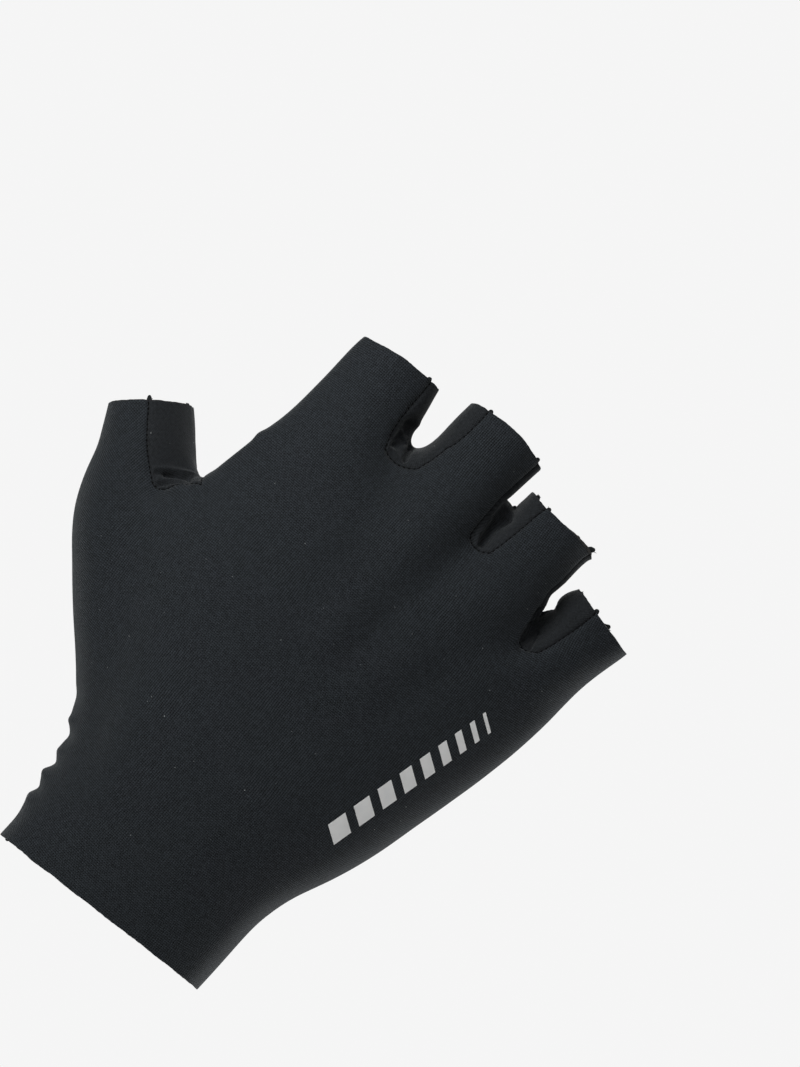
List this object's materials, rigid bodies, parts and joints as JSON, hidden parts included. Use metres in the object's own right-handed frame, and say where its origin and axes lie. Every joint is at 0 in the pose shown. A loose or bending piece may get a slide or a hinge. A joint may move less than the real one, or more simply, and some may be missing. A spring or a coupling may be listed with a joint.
{
  "type": "fingerless cycling glove",
  "caption": "Fingerless right-hand cycling glove in thin black stretch cloth: back and palm panels, thumb gusset and strips between the fingers, open at cuff and finger ends.",
  "frame": {"origin": "middle of the wrist opening at the cuff, where the glove sits on the wrist", "axes": "+Z from the wrist to the fingers, -Y is the back of the hand, +Y the palm, -X the thumb's side, +X the little finger's side"},
  "size_m": [0.1246, 0.0449, 0.1417],
  "materials": {
    "knit": "matt black stretch knit with a fine rib",
    "fine_knit": "finer and smoother black stretch knit",
    "suede": "short-napped black synthetic suede",
    "thread": "black polyester sewing thread",
    "reflective_print": "pale grey heat-pressed reflective film"
  },
  "bodies": {
    "root": {"back_panel": "knit", "palm_panel": "suede", "thumb_gusset": "fine_knit", "fourchette_index_middle": "fine_knit", "fourchette_middle_ring": "fine_knit", "fourchette_ring_little": "fine_knit"}
  },
  "joints": []
}
